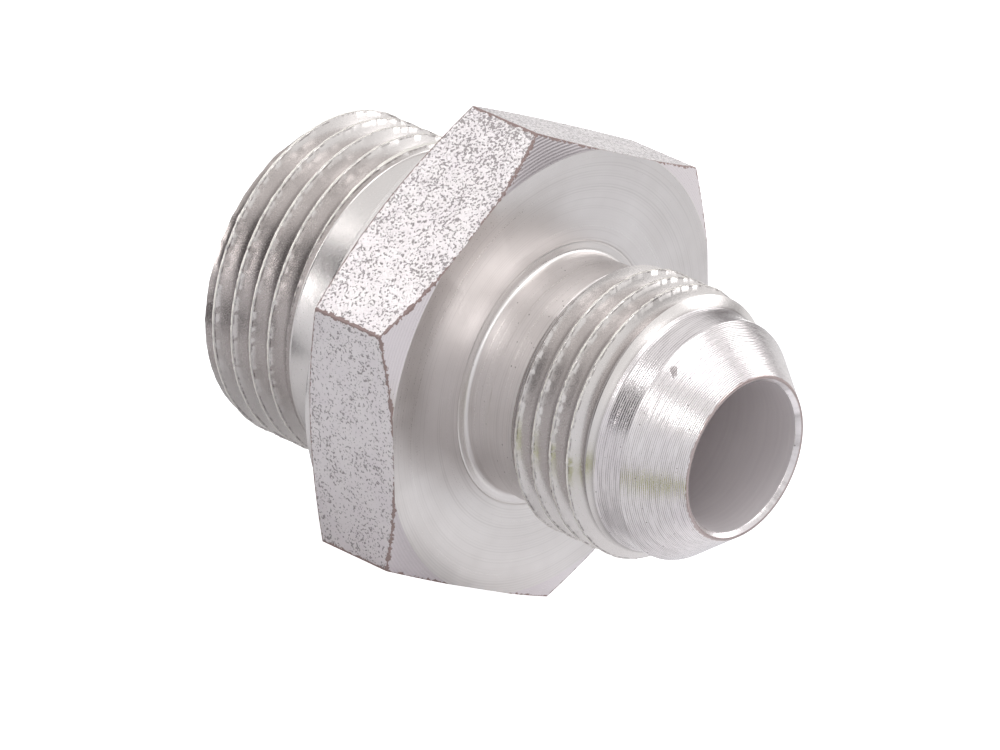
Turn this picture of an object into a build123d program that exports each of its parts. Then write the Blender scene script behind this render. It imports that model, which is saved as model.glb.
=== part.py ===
from build123d import *
import math
import os

# Straight hydraulic adapter, machined in one piece from 36 mm hexagon bar.
# Millimetres.  X runs along the bore, towards the flare nose.  Z is up, and the
# fitting lies on one hexagon flat at z = 0.  The origin is under its middle.

os.makedirs("parts", exist_ok=True)

# ---- hexagon -----------------------------------------------------------------
across_flats = 36.0          # spanner size
hex_length = 9.0             # front face to the back of the hexagon
face_diameter = 36.7         # turned circle on the front face, just over the flats
front_chamfer_angle = 24.8   # of the corners, from the face
back_chamfer_angle = 19.0

# ---- stud end: M27 x 2, sealed on the flat ring behind the hexagon --------------
seal_ring_diameter = 35.8
seal_ring_length = 0.75
seal_ring_edge = 0.2
stud_diameter = 27.0
stud_pitch = 2.0
stud_length = 16.0           # seal face to stud end
stud_relief_step = 3.0       # pitch 2 undercut: how far its diameter is under the thread's
stud_relief_length = 4.9
stud_relief_corner = 0.6     # left by the tool where the relief meets the seal face
stud_chamfer_length = 0.7
stud_chamfer_depth = 1.2

# ---- flare end: 7/8-14 UNF, 37 degree cone --------------------------------------
flare_diameter = 22.225
flare_pitch = 25.4 / 14
nose_length = 20.15          # hexagon face to the tip
neck_step = 2.325            # how far the neck's diameter is under the thread's
neck_length = 5.0
neck_corner = 0.45           # the same where the neck meets the hexagon
pilot_step = 2.625           # the same for the plain band between thread and cone
pilot_length = 2.35
cone_angle = 37.0            # half angle of the seat
tip_land = 0.18              # flat rim left round the mouth

# ---- bore ----------------------------------------------------------------------
bore_diameter = 12.3
mouth_chamfer = 0.35
back_chamfer = 0.5

# ---- thread form: 60 degrees, external -------------------------------------------
stud_depth_ratio = 0.74      # groove depth over pitch: a plain V
stud_floor_ratio = 0.0       # width of the groove's floor over pitch
flare_depth_ratio = 0.6134   # shallower, with a flat floor, to stay above the neck
flare_floor_ratio = 1 / 6
crest_overcut = 0.06         # how far the cutter stands above the crest
stud_phase = 0.1606          # turn at which the groove would meet the seal face
flare_phase = 0.6264         # turn at which the groove would meet the hexagon
run_out = 1.2                # how far each groove runs on over its relief
lead_in = 1.6                # pitches by which it starts beyond the thread

# ---- derived ---------------------------------------------------------------------
stud_relief_diameter = stud_diameter - stud_relief_step
neck_diameter = flare_diameter - neck_step
pilot_diameter = flare_diameter - pilot_step

axis_height = across_flats / 2
corner_radius = across_flats / math.sqrt(3)
face_radius = face_diameter / 2
cone_radius = pilot_diameter / 2
total_length = nose_length + hex_length + seal_ring_length + stud_length

x_tip = total_length / 2
x_end = -total_length / 2
x_face = x_tip - nose_length
x_hex_back = x_face - hex_length
x_seal = x_hex_back - seal_ring_length
x_split = x_face - hex_length / 2
x_stud_relief = x_seal - stud_relief_length
x_neck = x_face + neck_length

mouth_radius = bore_diameter / 2 + mouth_chamfer
tip_radius = mouth_radius + tip_land
cone_length = (cone_radius - tip_radius) / math.tan(math.radians(cone_angle))
x_cone = x_tip - cone_length
x_pilot = x_cone - pilot_length
flare_chamfer = pilot_step / 2

blank_radius = corner_radius + 0.5
front_chamfer = (blank_radius - face_radius) * math.tan(math.radians(front_chamfer_angle))
ring_radius = seal_ring_diameter / 2
rear_chamfer = (blank_radius - ring_radius) * math.tan(math.radians(back_chamfer_angle))


def stud_outline():
    """Half section of the stud side, from the middle of the hexagon to the stud end."""
    stud_r = stud_diameter / 2
    relief_r = stud_relief_diameter / 2
    with BuildLine() as line:
        Polyline(
            (x_split, 0),
            (x_split, blank_radius),
            (x_hex_back + rear_chamfer, blank_radius),
            (x_hex_back, ring_radius),
            (x_seal + seal_ring_edge, ring_radius),
            (x_seal, ring_radius - seal_ring_edge),
            (x_seal, relief_r + stud_relief_corner),
            (x_seal - stud_relief_corner, relief_r),
            (x_stud_relief, relief_r),
            (x_stud_relief - (stud_r - relief_r), stud_r),
            (x_end + stud_chamfer_length, stud_r),
            (x_end, stud_r - stud_chamfer_depth),
            (x_end, 0),
            (x_split, 0),
        )
    return line


def nose_outline():
    """Half section of the nose side, from the middle of the hexagon to the tip."""
    flare_r = flare_diameter / 2
    neck_r = neck_diameter / 2
    with BuildLine() as line:
        Polyline(
            (x_split, 0),
            (x_split, blank_radius),
            (x_face - front_chamfer, blank_radius),
            (x_face, face_radius),
            (x_face, neck_r + neck_corner),
            (x_face + neck_corner, neck_r),
            (x_neck, neck_r),
            (x_neck + flare_r - neck_r, flare_r),
            (x_pilot - flare_chamfer, flare_r),
            (x_pilot, cone_radius),
            (x_cone, cone_radius),
            (x_tip, tip_radius),
            (x_tip, 0),
            (x_split, 0),
        )
    return line


def bore_outline():
    """Half section of the through bore, with its mouth and back chamfers."""
    bore_r = bore_diameter / 2
    with BuildLine() as line:
        Polyline(
            (x_end - 1, 0),
            (x_end - 1, bore_r + back_chamfer + 1),
            (x_end + back_chamfer, bore_r),
            (x_tip - mouth_chamfer, bore_r),
            (x_tip + 1, bore_r + mouth_chamfer + 1),
            (x_tip + 1, 0),
            (x_end - 1, 0),
        )
    return line


def turned(outline, seam=0):
    """Solid of revolution about X; seam is the angle at which its faces close."""
    with BuildPart() as part:
        with BuildSketch(Plane.XY):
            add(outline.line)
            make_face()
        revolve(axis=Axis.X)
    return Rot(seam, 0, 0) * part.part


def groove_section(depth, floor):
    """Section of a 60 degree groove along the axis, pointed where its floor is 0."""
    top = floor + 2 * depth * math.tan(math.radians(30))
    corners = [(0, -floor / 2), (depth, -top / 2), (depth, top / 2)]
    if floor > 0:
        corners.append((0, floor / 2))
    return make_face(Polyline(*corners, close=True))


def threaded(outline, diameter, pitch, depth_ratio, floor_ratio, x_air, x_relief, x_datum, phase):
    """Turned solid with a right-handed groove from the air at x_air to x_relief."""
    crest_r = diameter / 2 + crest_overcut
    root_r = diameter / 2 - depth_ratio * pitch

    x_low = min(x_air, x_relief)
    helix = Helix(pitch=pitch, height=abs(x_relief - x_air), radius=root_r)
    start = Plane(origin=helix @ 0, x_dir=(1, 0, 0), z_dir=(0, 1, 0))
    section = start * groove_section(crest_r - root_r, floor_ratio * pitch)
    groove = sweep(section, path=helix, is_frenet=True)
    turn = 2 * math.pi * (phase + (x_low - x_datum) / pitch)
    side = (0, math.cos(turn), math.sin(turn))
    groove = Plane(origin=(x_low, 0, 0), x_dir=side, z_dir=(1, 0, 0)) * groove

    # The faces close on the side away from the groove's end, 0.43 of a turn past it.
    past_end = math.copysign(0.43, x_relief - x_air)
    seam = 360 * (phase + (x_relief - x_datum) / pitch + past_end)
    return turned(outline, seam) - groove


stud_side = threaded(
    stud_outline(),
    stud_diameter,
    stud_pitch,
    stud_depth_ratio,
    stud_floor_ratio,
    x_air=x_end - lead_in * stud_pitch,
    x_relief=x_stud_relief + run_out,
    x_datum=x_seal,
    phase=stud_phase,
)
nose_side = threaded(
    nose_outline(),
    flare_diameter,
    flare_pitch,
    flare_depth_ratio,
    flare_floor_ratio,
    x_air=x_pilot + lead_in * flare_pitch,
    x_relief=x_neck - run_out,
    x_datum=x_face,
    phase=flare_phase,
)
hexagon = extrude(
    Plane.YZ.offset(x_end - 1) * RegularPolygon(corner_radius, 6),
    total_length + 2,
)
body = (stud_side + nose_side) & hexagon
body -= turned(bore_outline())
body = Pos(0, 0, axis_height) * body
body.label = "fitting_body"

export_step(body, "parts/fitting_body.step")
bb = body.bounding_box()
print("solids", len(body.solids()), "volume", round(body.volume, 1), "valid", body.is_valid)
print("box", [round(v, 3) for v in (*bb.min, *bb.max)])
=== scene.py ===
import math

import bmesh
import bpy
from mathutils import Matrix, Vector


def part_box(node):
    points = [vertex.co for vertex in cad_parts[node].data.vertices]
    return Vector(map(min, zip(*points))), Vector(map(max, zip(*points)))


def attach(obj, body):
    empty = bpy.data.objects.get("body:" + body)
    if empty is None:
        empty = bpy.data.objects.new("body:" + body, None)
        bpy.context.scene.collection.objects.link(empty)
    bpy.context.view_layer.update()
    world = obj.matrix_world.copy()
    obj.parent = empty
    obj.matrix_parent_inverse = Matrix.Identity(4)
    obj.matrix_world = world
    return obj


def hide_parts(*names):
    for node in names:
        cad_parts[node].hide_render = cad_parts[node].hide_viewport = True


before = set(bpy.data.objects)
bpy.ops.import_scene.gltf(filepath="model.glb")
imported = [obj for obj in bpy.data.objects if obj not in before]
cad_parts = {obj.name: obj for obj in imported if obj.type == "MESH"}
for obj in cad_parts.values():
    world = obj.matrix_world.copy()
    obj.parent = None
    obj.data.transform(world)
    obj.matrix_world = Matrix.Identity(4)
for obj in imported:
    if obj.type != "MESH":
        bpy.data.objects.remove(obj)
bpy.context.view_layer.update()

bl_info = {
    "name": "Straight hydraulic adapter",
    "version": (1, 0, 0),
    "blender": (4, 5, 0),
    "location": "3D View > Sidebar > Adapter",
    "description": "Models a threaded one-piece hydraulic adapter with its plated finish",
    "category": "Add Mesh",
}

# The outlines below are in millimetres, with the bore's axis as their base line.
MM = 0.001
NODE = "fitting_body"
LOW, HIGH = (Vector(corner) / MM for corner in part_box(NODE))
AXIS_Z = (LOW.z + HIGH.z) / 2
HALF_FLATS = (HIGH.z - LOW.z) / 2
CORNER_R = (HIGH.z - LOW.z) / math.sqrt(3)
STEPS = 256  # facets round the axis
TIP_RIM = 0.53  # from the bore's wall to the edge of the cone
REAR_EDGE_WEIGHT = 2.5  # the torn line round the hexagon's back is this much thinner

# Where the thread cutters start and end, in millimetres. A cutter makes whole turns, so it
# starts up to one turn sooner and ends up to one turn later.
STUD_LEAD = 2.2  # before the stud end
STUD_SHOULDER = 1.95  # before the large thread's relief
NECK_LEAD = 4.2  # from the hexagon's face
PILOT_LAP = 1.2  # past the start of the pilot


# ---- sizes and colours -------------------------------------------------------------


def length(name, description, millimetres):
    """A size, kept in metres."""
    return bpy.props.FloatProperty(
        name=name, description=description, default=millimetres * MM, min=0.0,
        unit="LENGTH", precision=5,
    )


def angle(name, description, degrees):
    """An angle, kept in radians."""
    return bpy.props.FloatProperty(
        name=name, description=description, default=math.radians(degrees), subtype="ANGLE",
    )


def linear(code):
    """A linear colour from an sRGB hex value such as #D0CCCA."""
    channels = [int(code[i:i + 2], 16) / 255 for i in (1, 3, 5)]
    straight = [c / 12.92 if c <= 0.04045 else ((c + 0.055) / 1.055) ** 2.4 for c in channels]
    return (*straight, 1.0)


def paint(name, description, code):
    """A colour that starts from an sRGB hex value."""
    return bpy.props.FloatVectorProperty(
        name=name, description=description, default=linear(code), subtype="COLOR",
        size=4, min=0.0, max=1.0,
    )


class BodySizes(bpy.types.PropertyGroup):
    """Sizes of the turned body."""

    nose: length("Nose", "Hexagon face to the tip", 20.15)
    hex_length: length("Hexagon", "Front face to the back of the hexagon", 9.0)
    face_circle: length("Face circle", "Diameter of the turned circle on the front face", 36.7)
    front_slope: angle("Front chamfer", "Slope of the front corners from the face", 24.8)
    back_slope: angle("Back chamfer", "Slope of the back corners", 19.0)
    ring: length("Seal ring", "Diameter of the flat ring behind the hexagon", 35.8)
    ring_length: length("Ring length", "How far the ring stands behind the hexagon", 0.75)
    relief: length("Relief", "Diameter of the undercut behind the ring", 24.0)
    relief_length: length("Relief length", "Ring to the start of the large thread", 4.9)
    neck: length("Neck", "Diameter between the hexagon and the small thread", 19.9)
    neck_length: length("Neck length", "Hexagon face to the start of the small thread", 5.0)
    pilot: length("Pilot", "Diameter of the plain band before the cone", 19.6)
    pilot_length: length("Pilot length", "Length of the plain band", 2.35)
    seat: angle("Seat", "Slope of the cone from the axis", 37.0)
    bore: length("Bore", "Diameter of the through bore", 12.3)


class ThreadSizes(bpy.types.PropertyGroup):
    """Sizes of the two right-hand 60 degree threads."""

    stud: length("Stud thread", "Diameter over the crests of the large thread", 27.0)
    stud_pitch: length("Stud pitch", "Crest to crest on the large thread", 2.0)
    stud_crest: length("Stud crest", "Face to where a large crest passes over the top", 22.572)
    flare: length("Small thread", "Diameter over the crests of the small thread", 22.225)
    flare_pitch: length("Small pitch", "Crest to crest on the small thread", 25.4 / 14)
    flare_crest: length("Small crest", "Face to where a small crest passes over the top", 5.667)
    depth: bpy.props.FloatProperty(
        name="Depth", description="Groove depth over pitch", default=0.66, min=0.1, max=0.8,
    )
    tear: length("Tearing", "How deep the crests are torn", 0.10)


class FinishColours(bpy.types.PropertyGroup):
    """Colours of the plated steel."""

    zinc_flat: paint("Flats", "Bright zinc over the drawn bar", "#D8D1D4")
    zinc_turned: paint("Turned", "Bright zinc over turned steel", "#CFCAC8")
    zinc_light: paint("Light", "The brightest zinc", "#E2DEDD")
    # Lighter than the other zinc: a painted highlight along the thread crests, over rubbed zinc.
    crest: paint("Crests", "Rubbed zinc on the thread crests", "#ECE8E2")
    # Dull steel for the pits, also used as the painted shade in the thread roots.
    pit_and_root_shade: paint("Pits", "Dull steel inside the pits", "#5C5352")
    scale: paint("Scale", "Dark skin left on torn edges", "#A49390")
    bore: paint("Bore", "Thin zinc inside the bore", "#DED8D9")
    bore_light: paint("Bore light", "The brighter lines inside the bore", "#E8E3E3")


# ---- modelling helpers -----------------------------------------------------------------


def only(obj):
    """Makes obj the one selected and active object."""
    bpy.ops.object.select_all(action="DESELECT")
    obj.select_set(True)
    bpy.context.view_layer.objects.active = obj


def apply_modifier(obj, kind, name, **settings):
    """Adds a modifier, sets it and applies it."""
    only(obj)
    modifier = obj.modifiers.new(name, kind)
    for key, value in settings.items():
        setattr(modifier, key, value)
    bpy.ops.object.modifier_apply(modifier=modifier.name)


def drawn_outline(name, points):
    """A closed outline in the plane y = 0, drawn on from a single vertex."""
    bpy.ops.object.select_all(action="DESELECT")
    bpy.ops.mesh.primitive_plane_add(size=MM)
    obj = bpy.context.object
    obj.name = name
    bpy.ops.object.mode_set(mode="EDIT")
    bpy.ops.mesh.select_all(action="SELECT")
    bpy.ops.mesh.merge(type="CENTER")
    last = points[0]
    bpy.ops.transform.translate(value=(last[0] * MM, 0, last[1] * MM))
    for point in points[1:]:
        step = ((point[0] - last[0]) * MM, 0, (point[1] - last[1]) * MM)
        bpy.ops.mesh.extrude_region_move(TRANSFORM_OT_translate={"value": step})
        last = point
    drawn = bmesh.from_edit_mesh(obj.data)
    bpy.ops.mesh.select_all(action="DESELECT")
    for vertex in drawn.verts:
        if len(vertex.link_edges) == 1:
            vertex.select_set(True)
    bmesh.update_edit_mesh(obj.data)
    bpy.ops.mesh.edge_face_add()
    bpy.ops.object.mode_set(mode="OBJECT")
    return obj


def eased(corners):
    """Outline points from corners (x, r, ease), each corner eased by a small arc."""
    points = []
    count = len(corners)
    for i, (x, r, ease) in enumerate(corners):
        here = Vector((x, r))
        before = Vector(corners[i - 1][:2]) - here
        after = Vector(corners[(i + 1) % count][:2]) - here
        turn = before.angle(after)
        if ease <= 0 or turn > math.radians(178):
            points.append((x, r))
            continue
        reach = ease / math.tan(turn / 2)
        reach = min(reach, before.length * 0.48, after.length * 0.48)
        radius = reach * math.tan(turn / 2)
        centre = here + (before.normalized() + after.normalized()).normalized() * (
            radius / math.sin(turn / 2)
        )
        first = here + before.normalized() * reach - centre
        final = here + after.normalized() * reach - centre
        sweep = first.angle_signed(final)
        pieces = max(2, round(abs(math.degrees(sweep)) / (22 if ease < 1 else 7)))
        for k in range(pieces + 1):
            spoke = first.copy()
            spoke.rotate(Matrix.Rotation(-sweep * k / pieces, 2))
            points.append(tuple(centre + spoke))
    return points


class Stations:
    """Where the steps of the body lie along the bore, in millimetres."""

    def __init__(self, sizes):
        self.end = LOW.x
        self.tip = HIGH.x
        self.face = self.tip - sizes.nose / MM
        self.back = self.face - sizes.hex_length / MM
        self.ring = self.back - sizes.ring_length / MM
        self.relief = self.ring - sizes.relief_length / MM
        self.neck = self.face + sizes.neck_length / MM
        self.tip_r = sizes.bore / MM / 2 + TIP_RIM
        self.cone = self.tip - (sizes.pilot / MM / 2 - self.tip_r) / math.tan(sizes.seat)
        self.pilot = self.cone - sizes.pilot_length / MM


def blank_corners(sizes, threads):
    """Corners (x, radius, ease) of the turned half section, from the stud end round to the bore."""
    at = Stations(sizes)
    stud_r = threads.stud / MM / 2
    relief_r = sizes.relief / MM / 2
    ring_r = sizes.ring / MM / 2
    face_r = sizes.face_circle / MM / 2
    neck_r = sizes.neck / MM / 2
    flare_r = threads.flare / MM / 2
    pilot_r = sizes.pilot / MM / 2
    bore_r = sizes.bore / MM / 2
    blank_r = CORNER_R + 0.5
    run_out = at.relief - (stud_r - relief_r)
    front = (blank_r - face_r) * math.tan(sizes.front_slope)
    back = (blank_r - ring_r) * math.tan(sizes.back_slope)
    return [
        # Stud end, large thread and its undercut.
        (at.end, bore_r + 0.5, 0.08),
        (at.end, stud_r - 1.7, 0),
        (at.end, stud_r - 1.2, 0.12),
        (at.end + 0.7, stud_r, 0.15),
        (run_out, stud_r, 0.08),
        (run_out + 0.22, stud_r - 0.48, 0.15),
        (at.relief + 1.25, stud_r - 0.50, 0.4),
        (at.relief + 2.20, relief_r, 1.5),
        (at.ring, relief_r, 0.6),
        # Seal ring and hexagon.
        (at.ring, ring_r - 0.2, 0.08),
        (at.ring + 0.2, ring_r, 0.08),
        (at.back, ring_r, 0.05),
        (at.back + back, blank_r, 0),
        (at.face - front, blank_r, 0),
        (at.face, face_r, 0.15),
        # Double ring at the neck's root, and the neck.
        (at.face, neck_r + 1.00, 0.03),
        (at.face - 0.06, neck_r + 0.88, 0.03),
        (at.face, neck_r + 0.76, 0.03),
        (at.face, neck_r, 0.40),
        (at.face + 2.3, neck_r, 0.1),
        (at.face + 2.42, neck_r + 0.05, 0.1),
        (at.neck - 0.05, neck_r + 0.05, 0.2),
        # Small thread, pilot and cone.
        (at.neck + flare_r - neck_r, flare_r, 0.12),
        (at.pilot - (flare_r - pilot_r), flare_r, 0.12),
        (at.pilot, pilot_r, 0.7),
        (at.cone, pilot_r, 0.12),
        (at.tip, at.tip_r, 0.06),
        (at.tip, bore_r + 0.35, 0.06),
        # Bore.
        (at.tip - 0.35, bore_r, 0.1),
        (at.end + 0.5, bore_r, 0.1),
    ]


def turned_blank(sizes, threads):
    """The bar turned to its outline, before it has flats or threads."""
    obj = drawn_outline("adapter_body", eased(blank_corners(sizes, threads)))
    bpy.ops.object.mode_set(mode="EDIT")
    bpy.ops.mesh.select_all(action="SELECT")
    bpy.ops.mesh.spin(steps=STEPS, angle=2 * math.pi, center=(0, 0, 0), axis=(1, 0, 0))
    bpy.ops.mesh.select_all(action="SELECT")
    bpy.ops.mesh.remove_doubles(threshold=1e-6)
    bpy.ops.mesh.normals_make_consistent(inside=False)
    bpy.ops.object.mode_set(mode="OBJECT")
    return obj


def cut_flats(body):
    """Trims the blank to the hexagon bar it came from."""
    bpy.ops.object.select_all(action="DESELECT")
    bpy.ops.mesh.primitive_cylinder_add(
        vertices=6, radius=CORNER_R * MM, depth=(HIGH.x - LOW.x + 4) * MM,
        rotation=(0, math.pi / 2, 0),
    )
    bar = bpy.context.object
    bpy.ops.object.transform_apply(location=True, rotation=True, scale=True)
    apply_modifier(body, "BOOLEAN", "flats", operation="INTERSECT", solver="EXACT", object=bar)
    bpy.data.objects.remove(bar)


def thread_tool(name, diameter, pitch, depth_ratio, x_top, x_from, x_to):
    """A cutter for one right-hand thread; a crest passes over the top at x_top."""
    crest = diameter / 2
    root = crest - depth_ratio * pitch
    slope = math.tan(math.radians(30))
    half = 0.462 * pitch
    floor = 2 * (half - (crest - root) * slope)
    wall = half - floor / 2
    # Half of the groove's section: an eased floor, a straight flank and a rounded crest edge.
    flank = [
        (floor * 0.2, root),
        (floor * 0.42, root + 0.012 * pitch),
        (floor * 0.62, root + 0.05 * pitch),
        (floor / 2 + 0.3 * wall, root + 0.3 * (crest - root)),
        (floor / 2 + 0.62 * wall, root + 0.62 * (crest - root)),
        (half - 0.024 * pitch, crest - 0.036 * pitch),
        (half - 0.010 * pitch, crest - 0.014 * pitch),
        (half + 0.006 * pitch, crest - 0.004 * pitch),
        (half + 0.014 * pitch, crest + 0.02 * pitch),
    ]
    # The cutter is drawn over the top and turned to start and end under the bore, where a
    # groove lies below each crest that passes over the top.
    x_start = x_top - math.ceil((x_top - x_from) / pitch) * pitch
    turns = math.ceil((x_to - x_start) / pitch)
    section = [(x_start - x, r) for x, r in reversed(flank)]
    section += [(x_start + x, r) for x, r in flank]
    tool = drawn_outline(name, section)
    apply_modifier(
        tool, "SCREW", "helix", axis="X", angle=2 * math.pi, screw_offset=pitch * MM,
        steps=STEPS, render_steps=STEPS, iterations=turns, use_smooth_shade=False,
    )
    tool.rotation_euler.x = math.pi
    bpy.ops.object.transform_apply(location=False, rotation=True, scale=False)
    bpy.ops.object.mode_set(mode="EDIT")
    bpy.ops.mesh.select_all(action="DESELECT")
    bpy.ops.mesh.select_mode(type="EDGE")
    bpy.ops.mesh.select_non_manifold(
        extend=False, use_wire=False, use_multi_face=False, use_non_contiguous=False, use_verts=False,
    )
    bpy.ops.mesh.fill_holes(sides=0)
    bpy.ops.mesh.select_all(action="SELECT")
    bpy.ops.mesh.normals_make_consistent(inside=False)
    bpy.ops.mesh.select_mode(type="VERT")
    bpy.ops.object.mode_set(mode="OBJECT")
    return tool


def cut_threads(body, sizes, threads):
    """Cuts both threads with helical tools."""
    at = Stations(sizes)
    stud = thread_tool(
        "stud_tool", threads.stud / MM, threads.stud_pitch / MM, threads.depth,
        x_top=at.face - threads.stud_crest / MM, x_from=at.end - STUD_LEAD,
        x_to=at.relief - STUD_SHOULDER,
    )
    flare = thread_tool(
        "flare_tool", threads.flare / MM, threads.flare_pitch / MM, threads.depth,
        x_top=at.face + threads.flare_crest / MM, x_from=at.face + NECK_LEAD,
        x_to=at.pilot + PILOT_LAP,
    )
    for tool in (stud, flare):
        apply_modifier(
            body, "BOOLEAN", "thread", operation="DIFFERENCE", solver="EXACT", object=tool,
        )
        bpy.data.objects.remove(tool)
    only(body)
    bpy.ops.object.mode_set(mode="EDIT")
    bpy.ops.mesh.select_all(action="SELECT")
    bpy.ops.mesh.remove_doubles(threshold=2e-6)
    bpy.ops.mesh.dissolve_degenerate(threshold=1e-6)
    bpy.ops.object.mode_set(mode="OBJECT")


# ---- finishes ----------------------------------------------------------------------------


def add(tree, kind, inputs=None, **settings):
    """Adds a node, sets it, and gives its inputs values or links."""
    node = tree.nodes.new(kind)
    for key, value in settings.items():
        setattr(node, key, value)
    for key, value in (inputs or {}).items():
        if isinstance(value, bpy.types.NodeSocket):
            tree.links.new(value, node.inputs[key])
        else:
            node.inputs[key].default_value = value
    return node


def sum_of(tree, operation, first, second=0.0, third=0.0, clamp=False):
    """Result of one Math node."""
    terms = {0: first, 1: second, 2: third}
    return add(tree, "ShaderNodeMath", terms, operation=operation, use_clamp=clamp).outputs[0]


def between(tree, value, low, high, to_low=0.0, to_high=1.0):
    """A smooth step of value from low to high."""
    node = add(
        tree, "ShaderNodeMapRange",
        {"Value": value, "From Min": low, "From Max": high, "To Min": to_low, "To Max": to_high},
        interpolation_type="SMOOTHSTEP",
    )
    return node.outputs["Result"]


def blended(tree, amount, first, second):
    """A mix of two colours or colour sockets."""
    node = add(tree, "ShaderNodeMix", data_type="RGBA")
    # Inputs 6 and 7 and output 2 are the ones for colours.
    terms = ((node.inputs[0], amount), (node.inputs[6], first), (node.inputs[7], second))
    for socket, value in terms:
        if isinstance(value, bpy.types.NodeSocket):
            tree.links.new(value, socket)
        else:
            socket.default_value = value
    return node.outputs[2]


class Place:
    """Where a point of the fitting lies, in millimetres from the bore's axis."""

    def __init__(self, tree):
        coords = add(tree, "ShaderNodeTexCoord").outputs["Object"]
        self.point = add(
            tree, "ShaderNodeMapping",
            {"Vector": coords, "Location": (0, 0, -AXIS_Z), "Scale": (1000, 1000, 1000)},
        ).outputs[0]
        parts = add(tree, "ShaderNodeSeparateXYZ", {0: self.point})
        self.x, self.y, self.z = parts.outputs
        flat = add(tree, "ShaderNodeCombineXYZ", {0: 0.0, 1: self.y, 2: self.z}).outputs[0]
        across = add(tree, "ShaderNodeVectorMath", {0: flat}, operation="LENGTH")
        self.radius = across.outputs["Value"]
        self.spoke = add(tree, "ShaderNodeVectorMath", {0: flat}, operation="NORMALIZE").outputs[0]
        terms = {0: (1.0, 0.0, 0.0), 1: self.spoke}
        self.round = add(tree, "ShaderNodeVectorMath", terms, operation="CROSS_PRODUCT").outputs[0]


def grains(tree, vector, size, detail=2.0, roughness=0.5):
    """Noise whose grains are about size across, in the vector's units."""
    return add(
        tree, "ShaderNodeTexNoise",
        {"Vector": vector, "Scale": 1 / size, "Detail": detail, "Roughness": roughness},
    ).outputs["Fac"]


def specks(tree, vector, spacing, reach, share):
    """Small round marks: 1 inside a mark, on that share of the cells."""
    cells = add(tree, "ShaderNodeTexVoronoi", {"Vector": vector, "Scale": 1 / spacing})
    pick = add(tree, "ShaderNodeSeparateColor", {0: cells.outputs["Color"]}).outputs[0]
    size = sum_of(tree, "MULTIPLY", between(tree, pick, 1 - share, 1.0), reach / spacing)
    inside = sum_of(tree, "SUBTRACT", size, cells.outputs["Distance"])
    return between(tree, inside, 0.0, 0.25 * reach / spacing)


def lathe_lines(tree, place, toward_tip, pitch, waver=0.25, regular=0.2, lanes=0.6):
    """Fine rings left by the turning tool, as a height from 0 to 1."""
    sign = -1.0 if toward_tip else 1.0
    run = sum_of(tree, "MULTIPLY_ADD", place.radius, sign, place.x)
    drift = grains(tree, place.point, 3.0)
    run = sum_of(tree, "MULTIPLY_ADD", drift, waver * pitch, run)
    lane = add(tree, "ShaderNodeVectorMath", {0: place.spoke, 3: lanes}, operation="SCALE")
    apart = add(tree, "ShaderNodeSeparateXYZ", {0: lane.outputs[0]})
    scaled = sum_of(tree, "DIVIDE", run, pitch)
    vector = add(
        tree, "ShaderNodeCombineXYZ", {0: scaled, 1: apart.outputs[1], 2: apart.outputs[2]},
    ).outputs[0]
    scratches = grains(tree, vector, 1.0, detail=3.0, roughness=0.6)
    feed = sum_of(tree, "SINE", sum_of(tree, "MULTIPLY", scaled, 2 * math.pi))
    return sum_of(tree, "MULTIPLY_ADD", feed, 0.5 * regular, scratches)


def finish(name):
    """A new material with its shader, cleared of everything else."""
    material = bpy.data.materials.new(name)
    material.use_nodes = True
    tree = material.node_tree
    tree.nodes.clear()
    shader = add(tree, "ShaderNodeBsdfPrincipled", {"Metallic": 1.0})
    add(tree, "ShaderNodeOutputMaterial", {"Surface": shader.outputs[0]})
    return material, tree, shader


def bumped(tree, height, distance):
    """A bump of that many millimetres."""
    return add(tree, "ShaderNodeBump", {"Height": height, "Distance": distance * MM}).outputs[0]


def edge_of_flats(tree, place, sizes):
    """How far a point is from the edge between a flat and a corner chamfer, in millimetres."""
    at = Stations(sizes)
    nearest = None
    for turn in (30, 90, 150):
        across = (math.cos(math.radians(turn)), math.sin(math.radians(turn)))
        terms = {0: place.point, 1: (0.0, *across)}
        side = add(tree, "ShaderNodeVectorMath", terms, operation="DOT_PRODUCT").outputs["Value"]
        side = sum_of(tree, "ABSOLUTE", side)
        nearest = side if nearest is None else sum_of(tree, "MAXIMUM", nearest, side)
    inside = sum_of(tree, "ABSOLUTE", sum_of(tree, "SUBTRACT", HALF_FLATS, nearest))
    face_r = sizes.face_circle / MM / 2
    ring_r = sizes.ring / MM / 2
    edges = []
    for x_plane, r_plane, slope, outward, weight in (
        (at.face, face_r, sizes.front_slope, 1.0, 1.0),
        (at.back, ring_r, sizes.back_slope, -1.0, REAR_EDGE_WEIGHT),
    ):
        out = sum_of(tree, "SUBTRACT", place.radius, r_plane)
        out = sum_of(tree, "MULTIPLY", out, math.tan(slope) * weight)
        along = sum_of(tree, "SUBTRACT", place.x, x_plane)
        cone = sum_of(tree, "MULTIPLY_ADD", along, outward * weight, out)
        edges.append(sum_of(tree, "ABSOLUTE", cone))
    ends = sum_of(tree, "MINIMUM", *edges)
    return sum_of(tree, "ADD", inside, ends)


def corner_of_flats(tree, place):
    """How far a point on a flat is from the nearest lengthwise corner, in millimetres."""
    return sum_of(tree, "SUBTRACT", CORNER_R, place.radius)


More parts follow.
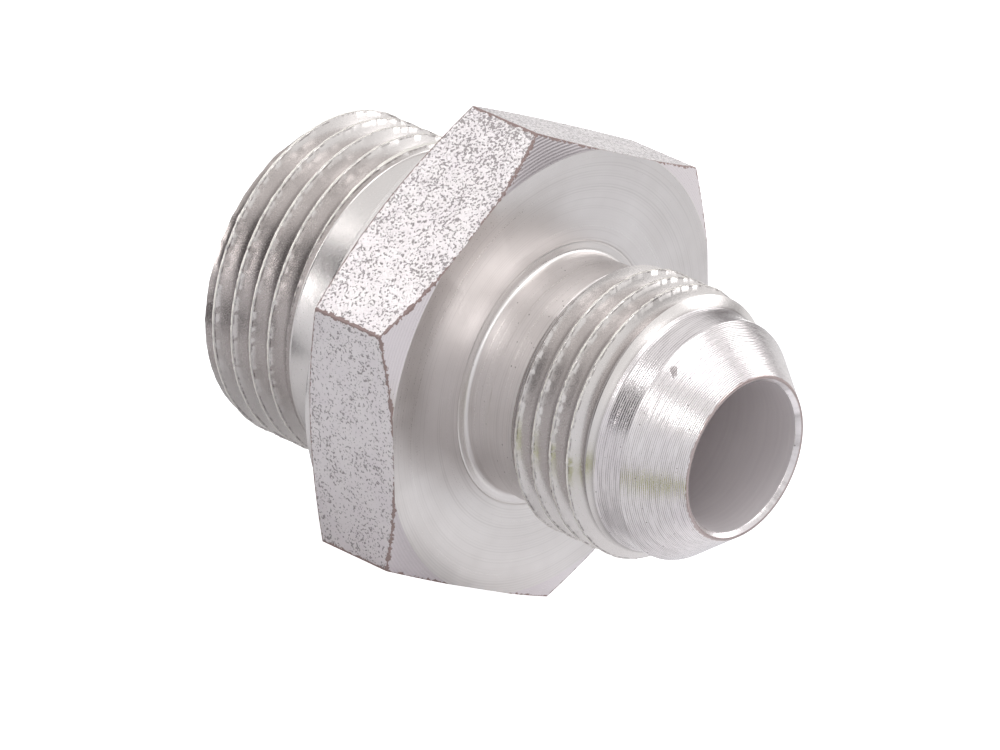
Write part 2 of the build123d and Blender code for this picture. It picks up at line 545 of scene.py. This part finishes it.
def drawn_bar(colours, sizes):
    """Bright zinc over the drawn skin of the bar: satin, pitted, torn and dark along its edges."""
    material, tree, shader = finish("zinc_on_cold_drawn_bar")
    place = Place(tree)
    cloud = grains(tree, place.point, 1.6)
    patch = grains(tree, place.point, 1.8)
    fine = grains(tree, place.point, 0.22, roughness=0.6)
    low = sum_of(tree, "MULTIPLY_ADD", patch, -0.20, 0.66)
    low = sum_of(tree, "MULTIPLY_ADD", sum_of(tree, "MAXIMUM", place.z, 0.0), -0.003, low)
    pits = between(tree, fine, low, sum_of(tree, "ADD", low, 0.06))
    marks = between(tree, grains(tree, place.point, 0.9, detail=3.0, roughness=0.7), 0.64, 0.68)
    marks = sum_of(tree, "MULTIPLY", marks, between(tree, fine, 0.40, 0.50))
    dark = sum_of(tree, "MAXIMUM", pits, marks)
    edge = edge_of_flats(tree, place, sizes)
    ragged = grains(tree, place.point, 0.45, detail=4.0, roughness=0.65)
    width = between(tree, ragged, 0.32, 0.68, 0.10, 0.36)
    torn = between(tree, sum_of(tree, "SUBTRACT", width, edge), 0.0, 0.04)
    corner_width = sum_of(tree, "MULTIPLY", width, 0.45)
    beyond = sum_of(tree, "SUBTRACT", corner_width, corner_of_flats(tree, place))
    torn = sum_of(tree, "MAXIMUM", torn, between(tree, beyond, 0.0, 0.02))
    zinc = blended(tree, cloud, colours.zinc_flat, colours.zinc_light)
    zinc = blended(tree, sum_of(tree, "MULTIPLY", dark, 0.6), zinc, colours.pit_and_root_shade)
    zinc = blended(tree, torn, zinc, colours.scale)
    tree.links.new(zinc, shader.inputs["Base Color"])
    rough = sum_of(tree, "MULTIPLY_ADD", fine, 0.3, 0.26)
    rough = sum_of(tree, "MAXIMUM", rough, sum_of(tree, "MULTIPLY", torn, 0.75))
    tree.links.new(rough, shader.inputs["Roughness"])
    height = sum_of(tree, "MULTIPLY_ADD", dark, -1.0, sum_of(tree, "MULTIPLY", fine, 0.8))
    height = sum_of(tree, "MULTIPLY_ADD", torn, -1.5, height)
    tree.links.new(bumped(tree, height, 0.04), shader.inputs["Normal"])
    return material


def turned_finish(
    name, colours, pitch, roughness, depth, streak, toward_tip, base,
    regular=0.2, lanes=0.6, rim=None, nick=None,
):
    """Bright zinc over a turned surface: fine rings round the axis, with a few open pores."""
    material, tree, shader = finish(name)
    place = Place(tree)
    lines = lathe_lines(tree, place, toward_tip, pitch, regular=regular, lanes=lanes)
    cloud = grains(tree, place.point, 4.0)
    fine = grains(tree, place.point, 0.10, detail=3.0, roughness=0.7)
    pores = specks(tree, place.point, 0.42, 0.08, 0.35)
    worn = 0.0
    if rim:
        ragged = grains(tree, place.point, 0.5, detail=4.0, roughness=0.7)
        reach = sum_of(tree, "MULTIPLY_ADD", ragged, 0.32, rim - 0.05)
        worn = between(tree, sum_of(tree, "SUBTRACT", reach, place.radius), 0.0, 0.05)
        land = between(tree, place.radius, rim - 0.24, rim - 0.16, 0.0, 0.8)
        worn = sum_of(tree, "MULTIPLY", worn, land)
    if nick:
        gap = add(tree, "ShaderNodeVectorMath", {0: place.point, 1: nick}, operation="DISTANCE")
        gap = sum_of(tree, "ADD", gap.outputs["Value"], grains(tree, place.point, 0.5))
        pores = sum_of(tree, "MAXIMUM", pores, between(tree, gap, 0.82, 0.92, 1.0, 0.0))
    zinc = blended(tree, cloud, base, colours.zinc_light)
    streaks = sum_of(tree, "MULTIPLY", between(tree, lines, 0.5, 0.8), streak)
    zinc = blended(tree, streaks, zinc, colours.pit_and_root_shade)
    zinc = blended(tree, worn, zinc, colours.scale)
    zinc = blended(tree, sum_of(tree, "MULTIPLY", pores, 0.6), zinc, colours.pit_and_root_shade)
    tree.links.new(zinc, shader.inputs["Base Color"])
    rough = sum_of(tree, "MULTIPLY_ADD", lines, 0.22, roughness - 0.11)
    rough = sum_of(tree, "MULTIPLY_ADD", sum_of(tree, "SUBTRACT", fine, 0.5), 0.25, rough)
    tree.links.new(rough, shader.inputs["Roughness"])
    height = sum_of(tree, "MULTIPLY_ADD", fine, 0.25, lines)
    height = sum_of(tree, "MULTIPLY_ADD", pores, -0.6, height)
    tree.links.new(bumped(tree, height, depth), shader.inputs["Normal"])
    shader.inputs["Anisotropic"].default_value = 0.55
    tree.links.new(place.round, shader.inputs["Tangent"])
    return material


def thread_finish(name, colours, diameter, pitch, depth_ratio):
    """Bright zinc over a cut thread: smooth flanks, rubbed crests lightened by a painted highlight,
    dark dashes just under them, and painted shade in the roots.
    """
    material, tree, shader = finish(name)
    place = Place(tree)
    height_over = sum_of(tree, "SUBTRACT", diameter / 2, place.radius)
    height_over = sum_of(tree, "DIVIDE", height_over, pitch)
    ragged = grains(tree, place.point, 0.5, detail=4.0, roughness=0.7)
    fine = grains(tree, place.point, 0.12, detail=3.0, roughness=0.7)
    cloud = grains(tree, place.point, 3.0)
    dashes = grains(tree, place.point, 0.9, detail=4.0, roughness=0.75)
    limit = sum_of(tree, "MULTIPLY_ADD", ragged, 0.07, -0.003)
    start = sum_of(tree, "SUBTRACT", limit, 0.012)
    crest_band = between(tree, height_over, start, limit, 1.0, 0.0)
    # Dark dashes in a band just under each crest, blended towards the dark pit colour.
    under = between(tree, height_over, 0.03, 0.05)
    under = sum_of(tree, "MULTIPLY", under, between(tree, height_over, 0.075, 0.105, 1.0, 0.0))
    dark_dashes_by_crest = sum_of(tree, "MULTIPLY", under, between(tree, dashes, 0.42, 0.60))
    # Painted shade in the thread roots: the bottom of each groove is blended towards the dark pit
    # colour.
    root = between(tree, height_over, depth_ratio * 0.72, depth_ratio, 0.0, 1.0)
    patches = sum_of(tree, "MULTIPLY", cloud, 0.5)
    zinc = blended(tree, patches, colours.zinc_turned, colours.zinc_light)
    zinc = blended(tree, sum_of(tree, "MULTIPLY", root, 0.5), zinc, colours.pit_and_root_shade)
    # Painted highlight: the crest band takes the lighter crest colour, over rubbed zinc.
    zinc = blended(tree, sum_of(tree, "MULTIPLY", crest_band, 0.9), zinc, colours.crest)
    zinc = blended(tree, sum_of(tree, "MULTIPLY", dark_dashes_by_crest, 0.6), zinc, colours.pit_and_root_shade)
    tree.links.new(zinc, shader.inputs["Base Color"])
    rough = sum_of(tree, "MULTIPLY_ADD", fine, 0.12, 0.2)
    rough = sum_of(tree, "MULTIPLY_ADD", crest_band, 0.2, rough)
    tree.links.new(rough, shader.inputs["Roughness"])
    worn = sum_of(tree, "MULTIPLY_ADD", crest_band, 1.2, 0.05)
    lumps = sum_of(tree, "MULTIPLY", sum_of(tree, "MULTIPLY_ADD", fine, 0.5, ragged), worn)
    tree.links.new(bumped(tree, lumps, 0.08), shader.inputs["Normal"])
    shader.inputs["Anisotropic"].default_value = 0.3
    tree.links.new(place.round, shader.inputs["Tangent"])
    return material


def drilled_finish(colours):
    """Thin zinc on a drilled wall: dull and grey, with faint spiral scratches."""
    material, tree, shader = finish("zinc_in_drilled_bore")
    place = Place(tree)
    lines = lathe_lines(tree, place, True, 0.5, waver=1.0)
    fine = grains(tree, place.point, 0.15, detail=3.0, roughness=0.7)
    white = specks(tree, place.point, 1.1, 0.10, 0.3)
    zinc = blended(tree, lines, colours.bore, colours.bore_light)
    zinc = blended(tree, white, zinc, colours.zinc_light)
    tree.links.new(zinc, shader.inputs["Base Color"])
    shader.inputs["Roughness"].default_value = 0.5
    shader.inputs["Metallic"].default_value = 0.6
    height = sum_of(tree, "MULTIPLY_ADD", fine, 0.5, lines)
    tree.links.new(bumped(tree, height, 0.02), shader.inputs["Normal"])
    return material


def corner_finish(colours, sizes):
    """Turned hexagon corners: fine tool ridges under the zinc, dark where the edge is torn."""
    material, tree, shader = finish("zinc_on_turned_corners")
    place = Place(tree)
    drift = grains(tree, place.point, 2.0)
    run = sum_of(tree, "MULTIPLY_ADD", drift, 0.08, place.radius)
    ridge = sum_of(tree, "PINGPONG", sum_of(tree, "DIVIDE", run, 0.22), 0.5)
    ridge = sum_of(tree, "MULTIPLY", ridge, 2.0)
    fine = grains(tree, place.point, 0.12, detail=3.0, roughness=0.7)
    edge = edge_of_flats(tree, place, sizes)
    ragged = grains(tree, place.point, 0.45, detail=4.0, roughness=0.65)
    width = between(tree, ragged, 0.36, 0.68, 0.02, 0.26)
    torn = between(tree, sum_of(tree, "SUBTRACT", width, edge), 0.0, 0.04)
    zinc = blended(tree, sum_of(tree, "MULTIPLY", ridge, 0.10), colours.zinc_flat, colours.pit_and_root_shade)
    zinc = blended(tree, torn, zinc, colours.scale)
    tree.links.new(zinc, shader.inputs["Base Color"])
    rough = sum_of(tree, "MULTIPLY_ADD", fine, 0.15, 0.22)
    rough = sum_of(tree, "MAXIMUM", rough, sum_of(tree, "MULTIPLY", torn, 0.75))
    tree.links.new(rough, shader.inputs["Roughness"])
    height = sum_of(tree, "MULTIPLY_ADD", ridge, 1.0, sum_of(tree, "MULTIPLY", fine, 0.15))
    tree.links.new(bumped(tree, height, 0.009), shader.inputs["Normal"])
    shader.inputs["Anisotropic"].default_value = 0.4
    tree.links.new(place.round, shader.inputs["Tangent"])
    return material


def region(x, radius, normal, at, bore_r):
    """Which finish a face takes, from its place in millimetres and its normal."""
    if radius < bore_r + 0.1 and abs(normal.x) < 0.5:
        return "bore"
    if x > at.pilot - 0.2:
        return "cone"
    if x > at.neck - 0.1:
        return "small thread"
    if x > at.face - 0.02:
        return "face"
    if x > at.back:
        if abs(normal.x) < 0.12 and radius > HALF_FLATS * 0.9:
            return "flats"
        if normal.x > 0 and radius > HALF_FLATS:
            return "corners"
        return "face"
    if x > at.relief:
        return "relief"
    return "large thread"


def paint_regions(body, sizes, finishes):
    """Gives each face the finish of its region."""
    at = Stations(sizes)
    bore_r = sizes.bore / MM / 2
    order = list(finishes)
    for name in order:
        body.data.materials.append(finishes[name])
    for face in body.data.polygons:
        centre = face.center / MM
        radius = math.hypot(centre.y, centre.z)
        name = region(centre.x, radius, face.normal, at, bore_r)
        face.material_index = order.index(name)


def displaced(body, name, group, lumps, direction, strength, middle):
    """Moves the vertices of a group by a texture, along X or their normals."""
    apply_modifier(
        body, "DISPLACE", name, texture=lumps, texture_coords="LOCAL", direction=direction,
        strength=strength, mid_level=middle, vertex_group=group,
    )


def cloud_texture(name, size):
    """Noise whose lumps are about that many millimetres across."""
    lumps = bpy.data.textures.new(name, "CLOUDS")
    lumps.noise_scale = size * MM
    lumps.noise_depth = 3
    return lumps


def tear_crests(body, threads):
    """Leaves both threads' crests, and the rim of the stud end, slightly torn and wavy."""
    crests = body.vertex_groups.new(name="crests")
    for vertex in body.data.vertices:
        crest = (threads.stud if vertex.co.x < 0 else threads.flare) / MM / 2
        over_foot = math.hypot(vertex.co.y, vertex.co.z) / MM - crest + 0.07
        if 0 < over_foot < 0.10:
            crests.add([vertex.index], min(1.0, over_foot / 0.05), "REPLACE")
    chips = cloud_texture("chips", 0.35)
    waves = cloud_texture("waves", 1.1)
    displaced(body, "chips", "crests", chips, "NORMAL", threads.tear * 1.5, 0.7)
    displaced(body, "waves", "crests", waves, "X", threads.tear * 1.1, 0.5)
    rim = body.vertex_groups.new(name="stud_end")
    for vertex in body.data.vertices:
        radius = math.hypot(vertex.co.y, vertex.co.z) / MM
        if vertex.co.x / MM < LOW.x + 1.0 and radius > threads.stud / MM / 2 - 1.5:
            rim.add([vertex.index], 1.0, "REPLACE")
    displaced(body, "end", "stud_end", waves, "X", threads.tear * 2.4, 0.3)
    body.vertex_groups.clear()
    for vertex in body.data.vertices:
        vertex.co.x = max(vertex.co.x, LOW.x * MM)


class ADAPTER_OT_body(bpy.types.Operator):
    """Turn, mill, thread and plate the adapter body"""

    bl_idname = "adapter.body"
    bl_label = "Adapter body"

    def execute(self, context):
        sizes = context.scene.adapter_body
        threads = context.scene.adapter_threads
        colours = context.scene.adapter_colours
        body = turned_blank(sizes, threads)
        cut_flats(body)
        cut_threads(body, sizes, threads)
        if len(body.data.polygons) < 10000:
            raise RuntimeError("the threads were not cut")
        tear_crests(body, threads)
        finishes = {
            "flats": drawn_bar(colours, sizes),
            "corners": corner_finish(colours, sizes),
            "face": turned_finish(
                "zinc_on_faced_steel", colours, 0.22, 0.34, 0.006, 0.10, True, colours.zinc_turned,
            ),
            "relief": turned_finish(
                "zinc_on_grooved_steel", colours, 0.25, 0.24, 0.004, 0.10, False, colours.zinc_turned,
            ),
            "cone": turned_finish(
                "zinc_on_turned_seat", colours, 0.21, 0.22, 0.016, 0.45, True, colours.zinc_flat,
                regular=0.5, lanes=4.0, rim=Stations(sizes).tip_r, nick=(19.5, -7.85, 4.95),
            ),
            "large thread": thread_finish(
                "zinc_on_large_thread", colours, threads.stud / MM, threads.stud_pitch / MM,
                threads.depth,
            ),
            "small thread": thread_finish(
                "zinc_on_small_thread", colours, threads.flare / MM, threads.flare_pitch / MM,
                threads.depth,
            ),
            "bore": drilled_finish(colours),
        }
        paint_regions(body, sizes, finishes)
        only(body)
        body.location.z = AXIS_Z * MM
        bpy.ops.object.transform_apply(location=True, rotation=True, scale=True)
        bpy.ops.object.shade_smooth_by_angle(angle=math.radians(28))
        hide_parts(NODE)
        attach(body, "root")
        return {"FINISHED"}


# ---- stage -----------------------------------------------------------------------------------


def floor_finish():
    """Matt white board that shows pure white where nothing shades it."""
    material, tree, shader = finish("matt_white_board")
    shader.inputs["Metallic"].default_value = 0.0
    shader.inputs["Base Color"].default_value = linear("#E6E6E8")
    shader.inputs["Roughness"].default_value = 0.9
    path = add(tree, "ShaderNodeLightPath").outputs
    shown = sum_of(tree, "ADD", path["Is Glossy Ray"], path["Is Transmission Ray"], clamp=True)
    coords = add(tree, "ShaderNodeTexCoord").outputs["Object"]
    # Painted reflection: for glossy rays the board also glows, brighter under the fitting than before
    # or behind it, so the metal shows painted light and shade.
    depth = add(tree, "ShaderNodeSeparateXYZ", {0: coords}).outputs[1]
    under = between(tree, depth, -0.004, 0.006, 0.14, 0.42)
    beyond = between(tree, depth, 0.014, 0.030, 1.0, 0.4)
    shown = sum_of(tree, "MULTIPLY", shown, sum_of(tree, "MULTIPLY", under, beyond))
    strength = sum_of(tree, "MULTIPLY_ADD", path["Is Camera Ray"], 0.8, shown)
    glow = add(tree, "ShaderNodeEmission", {"Color": (1, 1, 1, 1), "Strength": strength})
    both = add(tree, "ShaderNodeAddShader", {0: shader.outputs[0], 1: glow.outputs[0]})
    out = next(n for n in tree.nodes if n.bl_idname == "ShaderNodeOutputMaterial")
    tree.links.new(both.outputs[0], out.inputs["Surface"])
    return material


def card_finish(name, code):
    """Matt card held beside the object, for the metal to show."""
    material, _, shader = finish(name)
    shader.inputs["Metallic"].default_value = 0.0
    shader.inputs["Base Color"].default_value = linear(code)
    shader.inputs["Roughness"].default_value = 0.9
    return material


def card(name, centre, size, finish_of_card, blocks_lamps):
    """A card that faces the object, not seen by the camera."""
    bpy.ops.object.select_all(action="DESELECT")
    bpy.ops.mesh.primitive_grid_add(x_subdivisions=2, y_subdivisions=2, size=1)
    obj = bpy.context.object
    obj.name = name
    towards = Vector((0, 0, AXIS_Z * MM)) - Vector(centre)
    obj.rotation_mode = "QUATERNION"
    obj.rotation_quaternion = towards.normalized().to_track_quat("Z", "Y")
    obj.scale = (size[0], size[1], 1)
    obj.location = centre
    only(obj)
    bpy.ops.object.transform_apply(location=True, rotation=True, scale=True)
    obj.data.materials.append(finish_of_card)
    obj.visible_camera = False
    obj.visible_shadow = blocks_lamps
    obj.visible_diffuse = blocks_lamps


def lamp(name, place, size, watts):
    """A soft white lamp that points at the object."""
    data = bpy.data.lights.new(name, "AREA")
    data.shape = "RECTANGLE"
    data.size, data.size_y = size
    data.energy = watts
    obj = bpy.data.objects.new(name, data)
    bpy.context.scene.collection.objects.link(obj)
    obj.location = place
    aim = Vector((0, 0, AXIS_Z * MM)) - Vector(place)
    obj.rotation_euler = aim.to_track_quat("-Z", "Y").to_euler()
    obj.visible_camera = False


class ADAPTER_OT_stage(bpy.types.Operator):
    """Set the floor, the lamps and the camera"""

    bl_idname = "adapter.stage"
    bl_label = "Stage"

    def execute(self, context):
        scene = context.scene
        bpy.ops.object.select_all(action="DESELECT")
        bpy.ops.mesh.primitive_grid_add(x_subdivisions=4, y_subdivisions=4, size=6)
        floor = context.object
        floor.name = "floor"
        floor.data.materials.append(floor_finish())

        # The cards are unseen by the camera and show only in the metal: painted shade in its
        # reflections, and the green one a painted green band on the cone.
        dark = card_finish("matt_dark_card", "#4A4648")
        grey = card_finish("matt_grey_card", "#A8A4A2")
        light = card_finish("matt_light_card", "#D8D4D2")
        green = card_finish("matt_green_card", "#B9BD6A")
        card("card_front", (-0.026, -0.070, 0.024), (0.032, 0.046), dark, True)
        card("card_left", (-0.0240, -0.0200, 0.003), (0.010, 0.006), dark, False)
        card("card_right", (0.152, 0.096, 0.090), (0.100, 0.090), grey, False)
        card("card_back", (-0.075, 0.190, 0.156), (0.180, 0.100), grey, False)
        card("card_green", (0.030, -0.0145, 0.002), (0.012, 0.005), green, False)
        card("card_behind", (-0.0365, 0.0220, 0.0360), (0.012, 0.016), light, True)

        lamp("lamp_key", (0.25, -0.25, 0.90), (0.60, 0.60), 2.9)
        lamp("lamp_back_right", (0.20, 0.44, 0.52), (0.28, 0.28), 0.6)
        lamp("lamp_back_left", (-0.45, 0.60, 0.10), (0.20, 0.08), 0.12)
        lamp("lamp_left", (-0.40, -0.42, 0.36), (0.10, 0.10), 0.28)
        lamp("lamp_camera", (0.40, -0.62, 0.26), (0.16, 0.16), 0.50)
        lamp("lamp_low", (-0.0605, -0.0745, 0.012), (0.022, 0.020), 0.012)

        world = bpy.data.worlds.new("studio")
        scene.world = world
        world.use_nodes = True
        tree = world.node_tree
        tree.nodes.clear()
        path = add(tree, "ShaderNodeLightPath").outputs
        seen = sum_of(tree, "ADD", path["Is Camera Ray"], path["Is Glossy Ray"])
        seen = sum_of(tree, "ADD", seen, path["Is Transmission Ray"], clamp=True)
        soft = add(tree, "ShaderNodeBackground", {"Color": linear("#F4F6FA"), "Strength": 0.55})
        white = add(tree, "ShaderNodeBackground", {"Color": (1, 1, 1, 1), "Strength": 1.0})
        both = add(tree, "ShaderNodeMixShader", {0: seen, 1: soft.outputs[0], 2: white.outputs[0]})
        add(tree, "ShaderNodeOutputWorld", {"Surface": both.outputs[0]})

        scene.view_settings.view_transform = "Standard"
        data = bpy.data.cameras.new("camera")
        data.sensor_fit = "HORIZONTAL"
        data.sensor_width = 36.0
        data.lens = 382.757
        data.clip_start = 0.05
        camera = bpy.data.objects.new("camera", data)
        scene.collection.objects.link(camera)
        right = Vector((0.72988909, 0.60116752, 0.32536061))
        up = Vector((-0.32751132, -0.11023505, 0.93839468))
        back = Vector((0.59999854, -0.79148332, 0.11642981))
        turn = Matrix((right, up, back)).transposed()
        place = Vector((496.95, -658.22, 112.95)) * MM
        camera.matrix_world = Matrix.Translation(place) @ turn.to_4x4()
        scene.camera = camera
        return {"FINISHED"}


class ADAPTER_PT_panel(bpy.types.Panel):
    """Sizes, colours and steps of the adapter"""

    bl_idname = "ADAPTER_PT_panel"
    bl_label = "Adapter"
    bl_space_type = "VIEW_3D"
    bl_region_type = "UI"
    bl_category = "Adapter"

    def draw(self, context):
        scene = context.scene
        for group in (scene.adapter_body, scene.adapter_threads, scene.adapter_colours):
            box = self.layout.box()
            for name in group.__annotations__:
                box.prop(group, name)
        for operator in (ADAPTER_OT_body, ADAPTER_OT_stage):
            self.layout.operator(operator.bl_idname)


CLASSES = (
    BodySizes, ThreadSizes, FinishColours, ADAPTER_OT_body, ADAPTER_OT_stage, ADAPTER_PT_panel,
)


def register():
    """Makes the sizes, the steps and the panel known."""
    for cls in CLASSES:
        bpy.utils.register_class(cls)
    bpy.types.Scene.adapter_body = bpy.props.PointerProperty(type=BodySizes)
    bpy.types.Scene.adapter_threads = bpy.props.PointerProperty(type=ThreadSizes)
    bpy.types.Scene.adapter_colours = bpy.props.PointerProperty(type=FinishColours)


def unregister():
    """Takes them away again."""
    del bpy.types.Scene.adapter_colours
    del bpy.types.Scene.adapter_threads
    del bpy.types.Scene.adapter_body
    for cls in reversed(CLASSES):
        bpy.utils.unregister_class(cls)


def main():
    """Makes the adapter and its stage."""
    register()
    bpy.ops.adapter.body()
    bpy.ops.adapter.stage()


if __name__ == "__main__":
    main()
